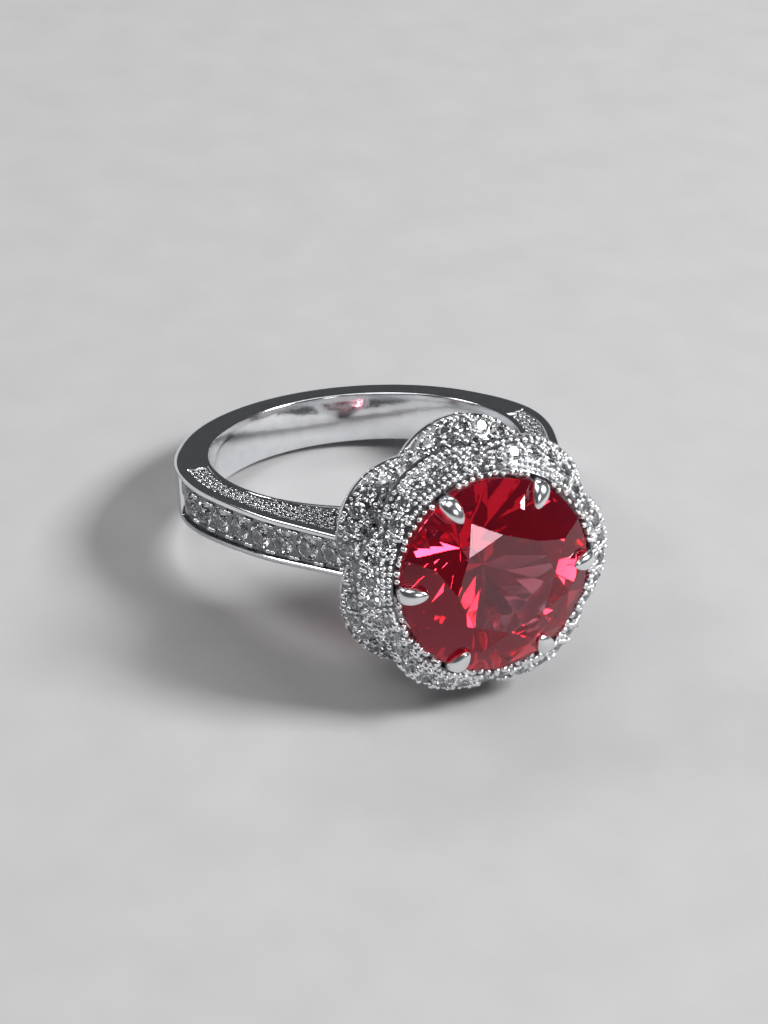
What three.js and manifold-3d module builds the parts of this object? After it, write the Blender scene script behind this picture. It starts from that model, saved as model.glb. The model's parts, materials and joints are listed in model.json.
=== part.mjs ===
// Cocktail ring: a round stone in six claws, inside a flower-shaped double halo, on a cathedral shank.
// Millimetres. The ring frame has the finger hole's centre at the origin, +X out through the centre
// stone and +Z along the finger. The outermost group lays the ring down on its side, as it rests.

import * as THREE from 'three';
import { ConvexGeometry } from 'three/addons/geometries/ConvexGeometry.js';
import { mergeVertices } from 'three/addons/utils/BufferGeometryUtils.js';
import Module from 'manifold-3d';

const wasm = await Module();
wasm.setup();

const degrees = Math.PI / 180;

// Corners closer than this are one corner.
const mergeDistance = 1e-5;

// Gap left between a stone and its seat, and between soldered pieces.
const gap = 0.03;

// Shank: the band round the finger and the two shoulders that rise to the head.
const boreRadius = 8.5;
const bandRadius = 10.42;
const bandHalfWidth = 1.43;
const headHalfWidth = 1.27;
const edgeBevel = 0.2;
const shoulderStart = 73 * degrees;
const shoulderControl = new THREE.Vector2(6.46, 8.92);
const shoulderBend = new THREE.Vector2(8.1, 7.9);
const shoulderTip = new THREE.Vector2(12.15, 5.39);
const shoulderInner = 4.78;
const saddleControl = new THREE.Vector2(10.3, 4.5);
const headSeat = new THREE.Vector2(9.75, 3.3);
const arcDivisions = 18;
const saddleDivisions = 8;

// Channel along the top of each shoulder, and the recess for small stones in each side face.
const channelHalfWidth = 1.08;
const channelDepth = 0.2;
const channelDivisions = 16;
const stonedFrom = 95 * degrees;
const recessDepth = 0.12;
const recessBoreRim = 0.25;
const recessOuterRim = 0.5;
const recessHeadEnd = 27 * degrees;
const recessDivisions = 14;

// Round stones set in the channel: the first one's place is a share of the pitch past the channel's
// start, and their girdles lie a little below the channel's floor.
const channelStones = 8;
const channelStoneRadius = 0.7;
const channelStonePitch = 1.6;
const channelStoneFirst = 0.89;
const channelStoneSink = 0.05;

// Centre stone, a round brilliant. Heights are along +X from the finger hole's centre.
const girdleHeight = 17.2;
const girdleRadius = 4.95;
const girdleThickness = 0.15;
const tableHeight = 18.5;
const tableRadius = 2.6;
const starShare = 0.68;
const pavilionAngle = 40.8 * degrees;
const mainFacets = 8;
const stoneTurn = 2.7 * degrees;

// Both halos are flowers of this many lobes.
const lobes = 6;

// Top halo: a domed band between the claws and its lobed edge, with a skirt below it.
const topHalo = { inner: 5.25, arcCentre: 2.65, arcRadius: 4.05, turn: 0 };
const topHaloRim = 15.8;
const topHaloCrest = 16.95;
const topHaloUnderside = 15.1;
const topHaloBevel = 0.12;
const skirtFoot = 14.33;
const skirtRadius = 5.7;

// Petal halo: the wider lower flower, turned half a lobe from the top one.
const petalHalo = { inner: 4.78, arcCentre: 3.3, arcRadius: 3.87, turn: 30 * degrees };
const petalRim = 13.3;
const petalWallFoot = 12.8;
const petalWallLean = 0.1;
const petalFlatRadius = 6.1;
const petalCrest = 14.3;
const petalUnderside = 12.18;
const haloDivisions = 72;
const haloEdgeBevel = 0.25;

// Round stones in a row along the top halo's lobed edge.
const haloStonesPerLobe = 6;
const haloStoneRadius = 0.44;
const haloStoneInset = 0.55;
const haloStoneSink = 0.06;
const haloStoneTilt = 39 * degrees;

// A small stone's proportions, as shares of its girdle radius.
const smallStoneDepth = 0.8;
const smallStoneGirdle = 0.04;
const smallStoneTable = 0.56;
const smallStoneCrown = 0.32;
const smallStoneSides = 8;
const seatOpening = 1;

// Basket: six claws on a base ring and a rail.
const claws = 6;
const clawWidth = 0.9;
const baseRing = { inner: 2.35, outer: 3.15, low: 9.78, high: 10.5 };
const rail = { inner: 4.1, outer: 4.72, low: 15.45, high: 16.05 };

// A claw's side view, as [distance from the head's axis, height]: the straight-sided post, then the
// points of the tip that folds over the girdle.
const clawPost = [
  [2.6, 10], [3.05, 10], [4.66, 14.2], [5.18, 15.6], [5.2, 16.6], [4.5, 16.6], [4.5, 15.8], [4, 14.3],
];
const clawTip = {
  inner: 4.5, outer: 5.2, foot: 16.4, shoulder: 17.4, top: 18, nose: 4.05, noseHeight: 17.72,
};
const clawTipRound = 4.75;

// Ring lying on its side: the petal at the bottom and the back of the band touch the surface.
const petalReach = petalHalo.arcCentre + petalHalo.arcRadius;
const restTilt = Math.atan((petalReach - bandHalfWidth) / (petalRim + bandRadius - edgeBevel));

const colours = { whiteGold: 0xd9dbde, ruby: 0x9c0f24, diamond: 0xe8eef4 };

// ---------- closed solids ----------

function signedVolume(geometry) {
  const position = geometry.attributes.position;
  const index = geometry.index;
  const corners = [new THREE.Vector3(), new THREE.Vector3(), new THREE.Vector3()];
  let volume = 0;
  for (let i = 0; i < index.count; i += 3) {
    corners.forEach((corner, k) => corner.fromBufferAttribute(position, index.getX(i + k)));
    volume += corners[0].dot(corners[1].clone().cross(corners[2])) / 6;
  }
  return volume;
}

// Shared vertices merged, collapsed triangles dropped and every face turned outward.
function closed(geometry) {
  geometry.deleteAttribute('normal');
  geometry.deleteAttribute('uv');
  const merged = mergeVertices(geometry, mergeDistance);
  const source = merged.index.array;
  const kept = [];
  for (let i = 0; i < source.length; i += 3) {
    const [a, b, c] = [source[i], source[i + 1], source[i + 2]];
    if (a !== b && b !== c && c !== a) kept.push(a, b, c);
  }
  merged.setIndex(kept);
  if (signedVolume(merged) < 0) {
    for (let i = 0; i < kept.length; i += 3) [kept[i + 1], kept[i + 2]] = [kept[i + 2], kept[i + 1]];
    merged.setIndex(kept);
  }
  return merged;
}

function toSolid(geometry) {
  const mesh = closed(geometry);
  return new wasm.Manifold(new wasm.Mesh({
    numProp: 3,
    vertProperties: new Float32Array(mesh.attributes.position.array),
    triVerts: new Uint32Array(mesh.index.array),
  }));
}

function toGeometry(solid) {
  const mesh = solid.getMesh();
  const geometry = new THREE.BufferGeometry();
  geometry.setAttribute('position', new THREE.BufferAttribute(mesh.vertProperties, 3));
  geometry.setIndex(new THREE.BufferAttribute(mesh.triVerts, 1));
  return geometry;
}

function cut(geometry, cutters) {
  let solid = toSolid(geometry);
  for (const cutter of cutters) solid = solid.subtract(toSolid(cutter));
  return toGeometry(solid);
}

// A profile of [radius, height] pairs turned round +Y.
function turned(profile, sides) {
  return new THREE.LatheGeometry(profile.map(([r, y]) => new THREE.Vector2(r, y)), sides);
}

function metal(name, geometry) {
  const material = new THREE.MeshStandardMaterial({
    color: colours.whiteGold, metalness: 1, roughness: 0.12,
  });
  const mesh = new THREE.Mesh(geometry, material);
  mesh.name = name;
  return mesh;
}

function gem(name, geometry, color) {
  const mesh = new THREE.Mesh(geometry, new THREE.MeshStandardMaterial({
    color, metalness: 0, roughness: 0.03,
  }));
  mesh.name = name;
  return mesh;
}

// ---------- shank ----------

// The band's outer edge from the back of the finger to the tip of one shoulder.
function outerEdge(side) {
  const edge = new THREE.Path();
  edge.absarc(0, 0, bandRadius, Math.PI, side * shoulderStart, side > 0);
  edge.quadraticCurveTo(
    shoulderControl.x, side * shoulderControl.y, shoulderBend.x, side * shoulderBend.y);
  edge.lineTo(shoulderTip.x, side * shoulderTip.y);
  return edge;
}

function shankOutline() {
  const upper = outerEdge(1).getPoints(arcDivisions);
  const lower = outerEdge(-1).getPoints(arcDivisions).reverse();
  const saddle = new THREE.Path();
  saddle.moveTo(shoulderTip.x, shoulderInner);
  saddle.quadraticCurveTo(saddleControl.x, saddleControl.y, headSeat.x, headSeat.y);
  saddle.lineTo(headSeat.x, -headSeat.y);
  saddle.quadraticCurveTo(saddleControl.x, -saddleControl.y, shoulderTip.x, -shoulderInner);
  const outline = new THREE.Shape([...lower, ...upper.slice(1), ...saddle.getPoints(saddleDivisions)]);
  const bore = new THREE.Path();
  bore.absarc(0, 0, boreRadius, 0, 2 * Math.PI, false);
  outline.holes.push(bore);
  return outline;
}

// The band narrows a little from the middle of the finger towards the head.
function narrowTowardsHead(geometry) {
  const position = geometry.attributes.position;
  for (let i = 0; i < position.count; i += 1) {
    const along = THREE.MathUtils.clamp(position.getX(i) / shoulderTip.x, 0, 1);
    const width = THREE.MathUtils.lerp(1, headHalfWidth / bandHalfWidth, along);
    position.setZ(i, position.getZ(i) * width);
  }
  return geometry;
}

// A station on one shoulder's outer edge: its point and outward normal, past the tip if need be.
function edgeStation(edge, side, distance) {
  const length = edge.getLength();
  const u = Math.min(distance / length, 1);
  const tangent = edge.getTangentAt(u);
  const point = edge.getPointAt(u).addScaledVector(tangent, Math.max(distance - length, 0));
  const normal = new THREE.Vector2(-side * tangent.y, side * tangent.x);
  return { point, normal };
}

// How far along the edge the stones begin.
function stonedStart() {
  return (Math.PI - stonedFrom) * bandRadius;
}

// A slab that follows one shoulder's outer edge, from one offset to another.
function edgeSlab(side, inside, outside, halfWidth, steps) {
  const edge = outerEdge(side);
  const start = stonedStart();
  const length = edge.getLength() + 1;
  const near = [];
  const far = [];
  for (let i = 0; i <= steps; i += 1) {
    const { point, normal } = edgeStation(edge, side, start + (length - start) * i / steps);
    near.push(point.clone().addScaledVector(normal, inside));
    far.push(point.clone().addScaledVector(normal, outside));
  }
  const shape = new THREE.Shape([...near, ...far.reverse()]);
  const slab = new THREE.ExtrudeGeometry(shape, { depth: 2 * halfWidth, bevelEnabled: false });
  slab.translate(0, 0, -halfWidth);
  return slab;
}

// The recess for pave in one side face of one shoulder.
function sideRecess(side, face) {
  const edge = outerEdge(side);
  const outer = [];
  const steps = recessDivisions;
  const length = edge.getLength();
  for (let i = 0; i <= steps; i += 1) {
    const distance = stonedStart() + (length - stonedStart()) * i / steps;
    const { point, normal } = edgeStation(edge, side, distance);
    const inset = point.clone().addScaledVector(normal, -recessOuterRim);
    if (Math.atan2(Math.abs(inset.y), inset.x) > recessHeadEnd) outer.push(inset);
  }
  const inner = [];
  const last = outer[outer.length - 1];
  const headAngle = Math.atan2(Math.abs(last.y), last.x);
  for (let i = 0; i <= steps; i += 1) {
    const angle = side * THREE.MathUtils.lerp(headAngle, stonedFrom, i / steps);
    const radius = boreRadius + recessBoreRim;
    inner.push(new THREE.Vector2(radius * Math.cos(angle), radius * Math.sin(angle)));
  }
  const slab = new THREE.ExtrudeGeometry(new THREE.Shape([...outer, ...inner]), {
    depth: 1, bevelEnabled: false,
  });
  slab.translate(0, 0, bandHalfWidth - recessDepth);
  if (face < 0) slab.scale(1, 1, -1);
  return narrowTowardsHead(slab);
}

function makeShank() {
  const body = new THREE.ExtrudeGeometry(shankOutline(), {
    depth: 2 * (bandHalfWidth - edgeBevel),
    curveSegments: 3 * arcDivisions,
    bevelThickness: edgeBevel,
    bevelSize: edgeBevel,
    bevelOffset: -edgeBevel,
    bevelSegments: 1,
  });
  body.translate(0, 0, -(bandHalfWidth - edgeBevel));
  const cutters = [];
  for (const side of [1, -1]) {
    cutters.push(edgeSlab(side, -channelDepth, 1, channelHalfWidth, channelDivisions));
    for (const place of channelPlaces(side)) {
      cutters.push(placed(seatCutter(channelStoneRadius), place));
    }
    for (const face of [1, -1]) cutters.push(sideRecess(side, face));
  }
  return metal('shank', cut(narrowTowardsHead(body), cutters));
}

// ---------- small stones ----------

// A small round brilliant with its girdle at the origin and its table towards +Y.
function smallStone(radius) {
  const girdle = smallStoneGirdle * radius;
  const crown = smallStoneCrown * radius;
  return turned([
    [0, -smallStoneDepth * radius], [radius, -girdle], [radius, girdle],
    [smallStoneTable * radius, crown], [0, crown],
  ], smallStoneSides);
}

// The drilled seat of such a stone, open towards +Y.
function seatCutter(radius) {
  const wall = radius + gap;
  const girdle = smallStoneGirdle * radius + gap;
  const culet = smallStoneDepth * radius + 2 * gap;
  return turned([[0, -culet], [wall, -girdle], [wall, seatOpening], [0, seatOpening]], smallStoneSides);
}

function placed(geometry, { point, axis }) {
  const turn = new THREE.Quaternion().setFromUnitVectors(new THREE.Vector3(0, 1, 0), axis);
  return geometry.applyQuaternion(turn).translate(point.x, point.y, point.z);
}

function channelPlaces(side) {
  const edge = outerEdge(side);
  const places = [];
  for (let i = 0; i < channelStones; i += 1) {
    const distance = stonedStart() + (i + channelStoneFirst) * channelStonePitch;
    const { point, normal } = edgeStation(edge, side, distance);
    const seat = point.clone().addScaledVector(normal, -channelDepth - channelStoneSink);
    places.push({
      point: new THREE.Vector3(seat.x, seat.y, 0),
      axis: new THREE.Vector3(normal.x, normal.y, 0),
    });
  }
  return places;
}

// Places for the row along the top halo's edge, in the head frame.
function haloPlaces() {
  const places = [];
  const count = lobes * haloStonesPerLobe;
  for (let i = 0; i < count; i += 1) {
    const angle = (i + 0.5) * 2 * Math.PI / count;
    const edge = lobedRadius(angle, topHalo);
    const radius = edge - haloStoneInset;
    const across = (radius - topHalo.inner) / (edge - topHalo.inner);
    const height = topHaloHeight(across) - haloStoneSink;
    const outward = new THREE.Vector3(Math.cos(angle), Math.sin(angle), 0);
    const axis = outward.clone().multiplyScalar(Math.sin(haloStoneTilt));
    axis.z = Math.cos(haloStoneTilt);
    const point = outward.multiplyScalar(radius);
    point.z = height;
    places.push({ point, axis });
  }
  return places;
}

// ---------- head, in a frame with +Z out through the centre stone and +X towards a claw ----------

// Distance from the axis to the edge of a flower whose lobes are circular arcs.
function lobedRadius(angle, { arcCentre, arcRadius, turn }) {
  const pitch = 2 * Math.PI / lobes;
  const off = THREE.MathUtils.euclideanModulo(angle - turn + pitch / 2, pitch) - pitch / 2;
  const across = arcCentre * Math.sin(off);
  return arcCentre * Math.cos(off) + Math.sqrt(arcRadius ** 2 - across ** 2);
}

// A closed profile turned round the head's axis, with its outer part drawn out to the lobed edge.
function lobedRing(profile, flower) {
  const reach = flower.arcCentre + flower.arcRadius;
  const ring = turned([...profile, profile[0]], haloDivisions).rotateX(Math.PI / 2);
  const position = ring.attributes.position;
  for (let i = 0; i < position.count; i += 1) {
    const radius = Math.hypot(position.getX(i), position.getY(i));
    const angle = Math.atan2(position.getY(i), position.getX(i));
    const share = (radius - flower.inner) / (reach - flower.inner);
    const drawn = flower.inner + share * (lobedRadius(angle, flower) - flower.inner);
    position.setX(i, drawn * Math.cos(angle));
    position.setY(i, drawn * Math.sin(angle));
  }
  return ring;
}

function topHaloHeight(across) {
  return THREE.MathUtils.lerp(topHaloCrest, topHaloRim, THREE.MathUtils.clamp(across, 0, 1));
}

function makeTopHalo() {
  const reach = topHalo.arcCentre + topHalo.arcRadius;
  const profile = [
    [topHalo.inner, skirtFoot], [skirtRadius, skirtFoot], [skirtRadius, topHaloUnderside],
    [reach - haloEdgeBevel, topHaloUnderside], [reach, topHaloUnderside + haloEdgeBevel],
    [reach, topHaloRim],
    [topHalo.inner + topHaloBevel, topHaloCrest], [topHalo.inner, topHaloCrest - topHaloBevel],
  ];
  const cutters = haloPlaces().map((place) => placed(seatCutter(haloStoneRadius), place));
  return metal('top_halo', cut(lobedRing(profile, topHalo), cutters));
}

function makePetalHalo() {
  const wallFoot = petalReach - petalWallLean;
  const profile = [
    [petalHalo.inner, petalUnderside], [petalFlatRadius, petalUnderside],
    [wallFoot - petalWallLean, petalWallFoot - petalWallLean], [wallFoot, petalWallFoot],
    [petalReach, petalRim], [skirtRadius + petalWallLean, petalCrest],
    [petalHalo.inner + haloEdgeBevel, petalCrest], [petalHalo.inner, petalCrest - haloEdgeBevel],
  ];
  return metal('petal_halo', closed(lobedRing(profile, petalHalo)));
}

// The brilliant's corners: table, star tips, girdle and culet.
function brilliant(margin) {
  const points = [];
  const crownSlope = (tableHeight - girdleHeight) / (girdleRadius - tableRadius);
  const pitch = 2 * Math.PI / mainFacets;
  const ring = (radius, height, count, turn) => {
    for (let i = 0; i < count; i += 1) {
      const angle = stoneTurn + turn + i * 2 * Math.PI / count;
      points.push(new THREE.Vector3(radius * Math.cos(angle), radius * Math.sin(angle), height));
    }
  };
  const starRadius = starShare * girdleRadius;
  const starReach = starRadius * Math.cos(pitch / 2) - tableRadius;
  const girdleFoot = girdleHeight - girdleThickness;
  ring(tableRadius, tableHeight + margin, mainFacets, 0);
  ring(starRadius + margin, tableHeight - crownSlope * starReach + margin, mainFacets, pitch / 2);
  ring(girdleRadius + margin, girdleHeight + margin, 4 * mainFacets, 0);
  ring(girdleRadius + margin, girdleFoot - margin, 4 * mainFacets, 0);
  points.push(new THREE.Vector3(0, 0, girdleFoot - girdleRadius * Math.tan(pavilionAngle) - 2 * margin));
  return new ConvexGeometry(points);
}

function turnedRing({ inner, outer, low, high }) {
  const profile = [[inner, low], [outer, low], [outer, high], [inner, high], [inner, low]];
  return turned(profile, haloDivisions / 2).rotateX(Math.PI / 2);
}

function slab(outline, depth) {
  return new THREE.ExtrudeGeometry(outline, { depth, curveSegments: 4, bevelEnabled: false });
}

// A side view stood up in the plane of the head's axis and +X.
function upright(outline) {
  return slab(outline, clawWidth).translate(0, 0, -clawWidth / 2).rotateX(Math.PI / 2);
}

// One claw: a post that rises from the base ring along the stone's pavilion, and a rounded tip
// that folds over the girdle.
function claw() {
  const post = new THREE.Shape(clawPost.map(([x, y]) => new THREE.Vector2(x, y)));
  const { inner, outer, foot, shoulder, top, nose, noseHeight } = clawTip;
  const crown = (inner + outer) / 2 - gap;
  const fold = new THREE.Shape();
  fold.moveTo(inner, foot);
  fold.lineTo(outer, foot);
  fold.lineTo(outer, shoulder);
  fold.quadraticCurveTo(outer, top - gap, crown, top);
  fold.quadraticCurveTo((crown + nose) / 2, top, nose, noseHeight);
  fold.lineTo(inner, girdleHeight);
  const half = clawWidth / 2;
  const plan = new THREE.Shape();
  plan.moveTo(nose, 0);
  plan.quadraticCurveTo(nose, half, clawTipRound, half);
  plan.lineTo(outer + half, half);
  plan.lineTo(outer + half, -half);
  plan.lineTo(clawTipRound, -half);
  plan.quadraticCurveTo(nose, -half, nose, 0);
  const column = slab(plan, top).translate(0, 0, foot - half);
  const tip = toSolid(upright(fold)).intersect(toSolid(column));
  return toSolid(upright(post)).add(tip);
}

function makeBasket() {
  let solid = toSolid(turnedRing(baseRing)).add(toSolid(turnedRing(rail)));
  for (let i = 0; i < claws; i += 1) {
    solid = solid.add(claw().rotate([0, 0, i * 360 / claws]));
  }
  return metal('claw_basket', toGeometry(solid.subtract(toSolid(brilliant(gap)))));
}

// ---------- assembly ----------

const head = new THREE.Group();
head.quaternion.setFromAxisAngle(new THREE.Vector3(1, 1, 1).normalize(), 120 * degrees);
head.add(makeTopHalo(), makePetalHalo(), makeBasket());
head.add(gem('centre_stone', closed(brilliant(0)), colours.ruby));
haloPlaces().forEach((place, i) => {
  const name = `halo_stone_${String(i + 1).padStart(2, '0')}`;
  head.add(gem(name, closed(placed(smallStone(haloStoneRadius), place)), colours.diamond));
});

const ring = new THREE.Group();
ring.rotation.y = -restTilt;
ring.add(makeShank(), head);
for (const [label, side] of [['left', 1], ['right', -1]]) {
  channelPlaces(side).forEach((place, i) => {
    const name = `${label}_shoulder_stone_${i + 1}`;
    ring.add(gem(name, closed(placed(smallStone(channelStoneRadius), place)), colours.diamond));
  });
}

// The origin is the middle of the ring's footprint, on the surface it lies on.
const model = new THREE.Group();
model.add(ring);
model.updateMatrixWorld(true);
const box = new THREE.Box3().setFromObject(ring, true);
ring.position.set(-(box.min.x + box.max.x) / 2, -(box.min.y + box.max.y) / 2, -box.min.z);

export default model;
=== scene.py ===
"""The looks of a cocktail ring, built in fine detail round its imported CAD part.

Shapes are made in millimetres in the ring's own frame: the origin is the centre of the finger hole,
+X goes out through the centre stone and +Z along the finger. The head's shapes are made with +Z out
through the stone and +X towards a claw. add_piece() takes them to the row frame, in metres.
"""

import json
import math
import random

import bmesh
import bpy
import numpy as np
from mathutils import Matrix, Vector


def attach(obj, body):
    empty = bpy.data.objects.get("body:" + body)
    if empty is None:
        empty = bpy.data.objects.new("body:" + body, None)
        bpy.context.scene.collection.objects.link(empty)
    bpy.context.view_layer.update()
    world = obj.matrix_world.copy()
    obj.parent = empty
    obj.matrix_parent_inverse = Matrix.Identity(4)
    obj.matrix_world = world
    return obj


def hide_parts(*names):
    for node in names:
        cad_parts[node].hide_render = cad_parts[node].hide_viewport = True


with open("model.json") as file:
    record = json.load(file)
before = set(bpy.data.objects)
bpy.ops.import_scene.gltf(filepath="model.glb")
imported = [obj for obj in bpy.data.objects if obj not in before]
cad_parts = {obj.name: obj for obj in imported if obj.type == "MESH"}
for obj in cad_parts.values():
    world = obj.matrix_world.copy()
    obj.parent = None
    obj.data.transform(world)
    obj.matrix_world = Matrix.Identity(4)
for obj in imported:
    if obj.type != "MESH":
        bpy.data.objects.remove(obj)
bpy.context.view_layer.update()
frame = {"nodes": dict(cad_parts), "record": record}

MM = 0.001
DRAWS = random.Random(7)


# ---------- the ring's own frame, and sizes measured on the CAD nodes ----------

def ring_frame(record):
    """The matrix from the ring's own frame, in millimetres, to the row frame, in metres."""
    low, high = (Vector(corner) for corner in record["physics"]["openings"][0]["box_m"])
    finger = -Vector(record["mounts"][0]["axis"])
    across = Vector((0, 1, 0))
    out = across.cross(finger)
    turn = Matrix((out, across, finger)).transposed().to_4x4()
    return Matrix.Translation((low + high) / 2) @ turn @ Matrix.Scale(MM, 4)


RING = ring_frame(frame["record"])


def node_points(name):
    """A CAD node's vertices in the ring's own frame."""
    points = np.array([v.co for v in frame["nodes"][name].data.vertices], float)
    back = np.array(RING.inverted())
    return points @ back[:3, :3].T + back[:3, 3]


def from_axis(points):
    """Distances from the head's axis."""
    return np.hypot(points[:, 1], points[:, 2])


RIM_SLACK = 0.02
TOP_SLACK = 0.01
GIRDLE_SLACK = 0.01


def outermost(points):
    """The points farthest from the head's axis."""
    reach = from_axis(points)
    return points[reach > reach.max() - RIM_SLACK]


def topmost(points):
    """The points farthest along the ring's +X."""
    return points[points[:, 0] > points[:, 0].max() - TOP_SLACK]


shank = node_points("shank")
tips = topmost(shank)
BORE_RADIUS = np.hypot(shank[:, 0], shank[:, 1]).min()
BAND_RADIUS = -shank[:, 0].min()
BAND_HALF = shank[:, 2].max()
TIP_X = shank[:, 0].max()
TIP_HALF = tips[:, 2].max()
TIP_OUTER = tips[:, 1].max()
TIP_INNER = np.abs(tips[:, 1]).min()

top_halo = node_points("top_halo")
TOP_INNER = from_axis(top_halo).min()
TOP_REACH = from_axis(top_halo).max()
TOP_CREST = top_halo[:, 0].max()
TOP_RIM = outermost(top_halo)[:, 0].max()
SKIRT_FOOT = top_halo[:, 0].min()

petals = node_points("petal_halo")
PETAL_INNER = from_axis(petals).min()
PETAL_REACH = from_axis(petals).max()
PETAL_CREST = petals[:, 0].max()
PETAL_RIM = outermost(petals)[:, 0].max()
PETAL_FOOT = petals[:, 0].min()

stone = node_points("centre_stone")
table_corners = topmost(stone)
GIRDLE_RADIUS = from_axis(stone).max()
GIRDLE_TOP = outermost(stone)[:, 0].max()
GIRDLE_FOOT = outermost(stone)[:, 0].min()
TABLE_HEIGHT = stone[:, 0].max()
TABLE_RADIUS = from_axis(table_corners).max()
CULET = stone[:, 0].min()
CROWN_SLOPE = (TABLE_HEIGHT - GIRDLE_TOP) / (GIRDLE_RADIUS - TABLE_RADIUS)
PAVILION_SLOPE = (GIRDLE_FOOT - CULET) / GIRDLE_RADIUS

BASE_FOOT = node_points("claw_basket")[:, 0].min()

# Shape of the shoulders and of the two flowers, as in the CAD part. Pairs are (x, y).
SHOULDER_START = math.radians(73)
SHOULDER_CONTROL = (6.46, 8.92)
SHOULDER_BEND = (8.1, 7.9)
SADDLE_CONTROL = (10.3, 4.5)
SADDLE_HALF = 3.3
STONED_FROM = math.radians(95)
RECESS_END = math.radians(27)
LOBES = 6
TOP_ARC_RADIUS = 4.05
PETAL_ARC_RADIUS = 3.87
PETAL_TURN = math.radians(30)
JOINT_GAP = 0.03


# ---------- gathering meshes ----------

class Body:
    """Vertices and faces being gathered for one piece."""

    def __init__(self):
        self.points = []
        self.faces = []
        self.count = 0

    def add(self, points, faces):
        """Adds points, and faces that number them from 0."""
        self.points.append(np.asarray(points, float))
        self.faces += [tuple(i + self.count for i in face) for face in faces]
        self.count += len(points)


def loft(sections, loop=False):
    """A skin over sections of equal point count: end joined to start if loop, else capped."""
    count = len(sections)
    width = len(sections[0])
    faces = []
    for i in range(count if loop else count - 1):
        j = (i + 1) % count
        for k in range(width):
            m = (k + 1) % width
            faces.append((i * width + k, i * width + m, j * width + m, j * width + k))
    if not loop:
        faces.append(tuple(reversed(range(width))))
        faces.append(tuple((count - 1) * width + k for k in range(width)))
    return np.concatenate(sections), faces


def from_head(points):
    """Points of the head's frame in the ring's frame."""
    return np.asarray(points)[:, [2, 0, 1]]


def new_mesh(name, body):
    """A Blender mesh of a body, with all faces turned outward, in the ring's frame."""
    mesh = bpy.data.meshes.new(name)
    mesh.from_pydata(np.concatenate(body.points).tolist(), [], body.faces)
    work = bmesh.new()
    work.from_mesh(mesh)
    bmesh.ops.recalc_face_normals(work, faces=work.faces)
    work.to_mesh(mesh)
    work.free()
    return mesh


def drilled(name, body, cutters):
    """The body's mesh with the cutters taken out of it."""
    scene = bpy.context.scene
    solid = bpy.data.objects.new(name, new_mesh(name, body))
    tool = bpy.data.objects.new(name + "_tool", new_mesh(name + "_tool", cutters))
    scene.collection.objects.link(solid)
    scene.collection.objects.link(tool)
    modifier = solid.modifiers.new("drill", "BOOLEAN")
    modifier.operation = "DIFFERENCE"
    modifier.solver = "MANIFOLD"
    modifier.object = tool
    evaluated = solid.evaluated_get(bpy.context.evaluated_depsgraph_get())
    mesh = bpy.data.meshes.new_from_object(evaluated)
    for used in (solid, tool):
        old = used.data
        bpy.data.objects.remove(used)
        bpy.data.meshes.remove(old)
    return mesh


def add_piece(name, mesh, material, smooth_angle=None, replaces=(), painted_shade=None):
    """Puts a mesh of the ring's frame in place as a shown piece.

    The last argument, if given, says at which face centres the metal is made rougher and painted dark,
    as painted shade in a recess or between pave-set stones.
    """
    mesh.materials.clear()
    mesh.materials.append(material)
    if painted_shade is not None:
        # Painted shade: a dark, rougher metal on the masked faces stands in for the shade there.
        mesh.materials.append(PAINTED_SHADE_METAL)
        centres = np.array([face.center for face in mesh.polygons])
        mesh.polygons.foreach_set("material_index", painted_shade(centres).astype(np.int32))
    mesh.transform(RING)
    if smooth_angle is None:
        mesh.shade_flat()
    else:
        mesh.shade_smooth()
        mesh.set_sharp_from_angle(angle=smooth_angle)
    piece = bpy.data.objects.new(name, mesh)
    bpy.context.scene.collection.objects.link(piece)
    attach(piece, "root")
    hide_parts(*replaces)
    return piece


def facing(axis, spin=0.0):
    """A turn that takes +Z to an axis, after a spin about it."""
    turn = Vector((0, 0, 1)).rotation_difference(Vector(axis)).to_matrix()
    return np.array(turn @ Matrix.Rotation(spin, 3, "Z"))


def set_at(body, shape, centre, axis, spin=0.0, scale=1.0):
    """Adds a copy of a shape with its +Z along an axis."""
    points, faces = shape
    body.add((points * scale) @ facing(axis, spin).T + np.asarray(centre), faces)


def set_grain(body, shape, centre, axis, spread):
    """Adds a grain pushed up by hand: each has a size, stretch and lean of its own."""
    size = 1 + DRAWS.uniform(-spread, spread)
    stretch = np.array([DRAWS.uniform(1 - spread, 1 + spread) for _ in range(3)])
    lean = np.array([DRAWS.uniform(-spread, spread) for _ in range(3)])
    set_at(body, shape, centre, np.asarray(axis) + lean, DRAWS.uniform(0, math.tau), size * stretch)


# ---------- stones ----------

STAR_SHARE = 0.5
LOWER_SHARE = 0.78
FACETS = 8
FLAT_ANGLE = math.radians(0.2)


def hull(points):
    """Corners and flat facets of the convex body through points."""
    work = bmesh.new()
    for point in points:
        work.verts.new(point)
    bmesh.ops.convex_hull(work, input=work.verts)
    bmesh.ops.dissolve_limit(work, angle_limit=FLAT_ANGLE, verts=work.verts, edges=work.edges)
    work.verts.index_update()
    corners = np.array([v.co for v in work.verts], float)
    facets = [tuple(v.index for v in face.verts) for face in work.faces]
    work.free()
    return corners, facets


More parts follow.
